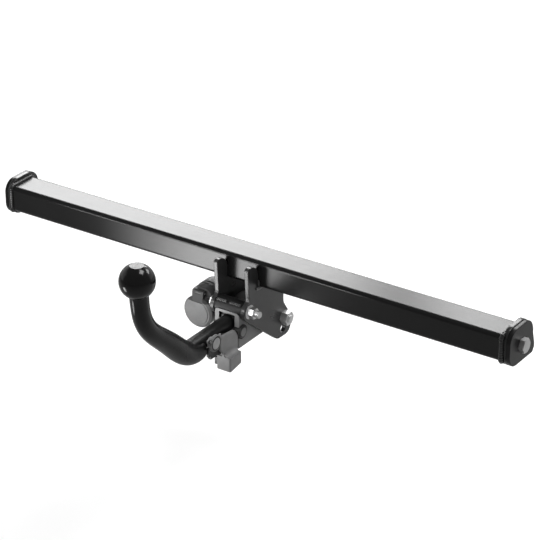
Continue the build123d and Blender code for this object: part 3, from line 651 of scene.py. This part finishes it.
def add_hump_ridges():
    foot = HUMP_TOP - 2 * HUMP_CORNER
    for place, y in RIDGES.items():
        points = [(SOCKET_X - HUMP_HALF, y, foot)]
        for side, first in ((-1, 180), (1, 90)):
            for part in range(HUMP_STEPS + 1):
                turn = math.radians(first - 90 * part / HUMP_STEPS)
                x = SOCKET_X + side * (HUMP_HALF - HUMP_CORNER) + HUMP_CORNER * math.cos(turn)
                z = HUMP_TOP - HUMP_CORNER + HUMP_CORNER * math.sin(turn)
                points.append((x, y, z))
        points.append((SOCKET_X + HUMP_HALF, y, foot))
        weld(f"hump_ridge_{place}", points, RIDGE_BAR, rubber, depth=0.0)


# Floor: pale, whiter far away, with the object's shadow on it
FLOOR_Z = -0.30
FLOOR_REACH = 12.0
FLOOR_TONE = 0.45
FLOOR_ROUGH = 0.9
NEAR = 1.0
NEAR_LIFT = 0.60
FAR = 5.0
FAR_LIFT = 0.95
FLOOR_GLEAM = 0.08


def floor_finish():
    material, tree, shader = node_tree("floor")
    shader.inputs["Base Color"].default_value = (*grey(FLOOR_TONE), 1)
    shader.inputs["Roughness"].default_value = FLOOR_ROUGH
    shader.inputs["Emission Color"].default_value = WHITE
    place = tree.nodes.new("ShaderNodeTexCoord")
    distance = tree.nodes.new("ShaderNodeVectorMath")
    distance.operation = "LENGTH"
    tree.links.new(place.outputs["Object"], distance.inputs[0])
    lift = map_range(tree, distance.outputs["Value"], NEAR, FAR, NEAR_LIFT, FAR_LIFT)
    path = tree.nodes.new("ShaderNodeLightPath")
    for_camera = calculate(tree, "MULTIPLY", path.outputs["Is Camera Ray"], lift)
    for_gloss = calculate(tree, "MULTIPLY", path.outputs["Is Glossy Ray"], FLOOR_GLEAM)
    tree.links.new(calculate(tree, "ADD", for_camera, for_gloss), shader.inputs["Emission Strength"])
    return material


def add_floor():
    corners = [(-1, -1), (1, -1), (1, 1), (-1, 1)]
    mesh = bpy.data.meshes.new("floor")
    mesh.from_pydata([(x * FLOOR_REACH, y * FLOOR_REACH, FLOOR_Z) for x, y in corners], [], [(0, 1, 2, 3)])
    mesh.materials.append(floor_finish())
    floor = bpy.data.objects.new("floor", mesh)
    scene.collection.objects.link(floor)


# Lamps: near strips grade the light on the bar's front, with beams that miss the parts below it
STRIPS = 7
STRIP_WIDTH = 0.05
STRIP_HEIGHT = 0.16
STRIP_PLACE = Vector((-0.205, -0.232, -0.125))
STRIP_AIM = Vector((0.50, 0.74, 0.45))
STRIP_POWER = 0.038
STRIP_FADE = 2.4
STRIP_BEAM = 60


def soft_box(name, place, target, width, height, power, beam=180):
    data = bpy.data.lights.new(name, "AREA")
    data.spread = math.radians(beam)
    data.shape = "RECTANGLE"
    data.size = width
    data.size_y = height
    data.energy = power
    lamp = bpy.data.objects.new(name, data)
    scene.collection.objects.link(lamp)
    lamp.location = place
    aim = Vector(target) - Vector(place)
    lamp.rotation_euler = aim.to_track_quat("-Z", "Y").to_euler()
    lamp.visible_camera = False


def add_large_boxes():
    """Two boxes behind for the bar's top, one above, and one for the right side."""
    soft_box(
        "back_box", place=(-1.22, 1.35, 0.85), target=(0, 0, 0), width=1.04, height=0.60, power=19.5
    )
    soft_box(
        "end_box", place=(-0.34, 1.35, 0.85), target=(0.40, 0, 0.10), width=0.26, height=0.60, power=4.3
    )
    soft_box(
        "top_box", place=(0.71, 0.22, 1.99), target=(0, -0.26, 0.08), width=1.00, height=0.72, power=30
    )
    soft_box(
        "right_box", place=(0.60, 1.22, 1.05), target=(0, -0.12, -0.06), width=0.80, height=0.45, power=11
    )


def add_small_boxes():
    """A thin one for the bright line under the bar's front edge, and one for the neck's left side."""
    soft_box(
        "edge_box", place=(-0.165, -0.20, 0.010), target=(-0.165, 0, 0.010),
        width=0.52, height=0.017, power=0.45, beam=120,
    )
    soft_box(
        "left_box", place=(-0.28, -0.51, -0.18), target=(-0.01, -0.27, 0.0),
        width=0.12, height=0.15, power=0.06, beam=50,
    )


def add_strips():
    for strip in range(STRIPS):
        offset = strip - (STRIPS - 1) / 2
        place = STRIP_PLACE + Vector((offset * STRIP_WIDTH, 0, 0))
        power = STRIP_POWER * math.exp(-((offset / STRIP_FADE) ** 2))
        name = f"front_strip_{strip}"
        soft_box(name, place, place + STRIP_AIM, STRIP_WIDTH, STRIP_HEIGHT, power, STRIP_BEAM)


# World: a white backdrop behind the object, up to this height as a share of a direction
BACKDROP_SIDE = Vector((-0.56, 0.83, 0.0))
BACKDROP_EDGE = 0.2
BACKDROP_TOP = 0.55
TOP_BLUR = 0.1
LIT_LEVEL = 0.32
WHITE_LEVEL = 1.0


def backdrop(tree):
    """1 toward the backdrop and 0 toward the room in front of the object and above it."""
    place = tree.nodes.new("ShaderNodeTexCoord")
    toward = tree.nodes.new("ShaderNodeVectorMath")
    toward.operation = "DOT_PRODUCT"
    toward.inputs[1].default_value = BACKDROP_SIDE
    tree.links.new(place.outputs["Generated"], toward.inputs[0])
    parts = tree.nodes.new("ShaderNodeSeparateXYZ")
    tree.links.new(place.outputs["Generated"], parts.inputs["Vector"])
    behind = map_range(tree, toward.outputs["Value"], 0.0, BACKDROP_EDGE, kind="SMOOTHSTEP")
    low_top = BACKDROP_TOP - TOP_BLUR
    high_top = BACKDROP_TOP + TOP_BLUR
    above = map_range(tree, parts.outputs["Z"], low_top, high_top, kind="SMOOTHSTEP")
    return calculate(tree, "MULTIPLY", behind, calculate(tree, "SUBTRACT", 1.0, above))


def background(tree, strength):
    node = tree.nodes.new("ShaderNodeBackground")
    node.inputs["Color"].default_value = WHITE
    node.inputs["Strength"].default_value = strength
    return node.outputs["Background"]


def add_world():
    """A plain level that lights the object, and white for what sees the background itself."""
    world = bpy.data.worlds.new("world")
    scene.world = world
    world.use_nodes = True
    tree = world.node_tree
    tree.nodes.clear()
    path = tree.nodes.new("ShaderNodeLightPath")
    gleam = calculate(tree, "MULTIPLY", path.outputs["Is Glossy Ray"], backdrop(tree))
    clear = calculate(tree, "MAXIMUM", path.outputs["Is Camera Ray"], path.outputs["Is Transmission Ray"])
    mix = tree.nodes.new("ShaderNodeMixShader")
    tree.links.new(calculate(tree, "MAXIMUM", gleam, clear), mix.inputs["Fac"])
    tree.links.new(background(tree, LIT_LEVEL), mix.inputs[1])
    tree.links.new(background(tree, WHITE_LEVEL), mix.inputs[2])
    out = tree.nodes.new("ShaderNodeOutputWorld")
    tree.links.new(mix.outputs["Shader"], out.inputs["Surface"])


scene.view_settings.view_transform = "Standard"
add_camera()
dress_nodes()
add_tube_welds()
add_boss_welds()
add_hump_ridges()
add_thread()
add_pin_rings()
add_floor()
add_large_boxes()
add_small_boxes()
add_strips()
add_world()
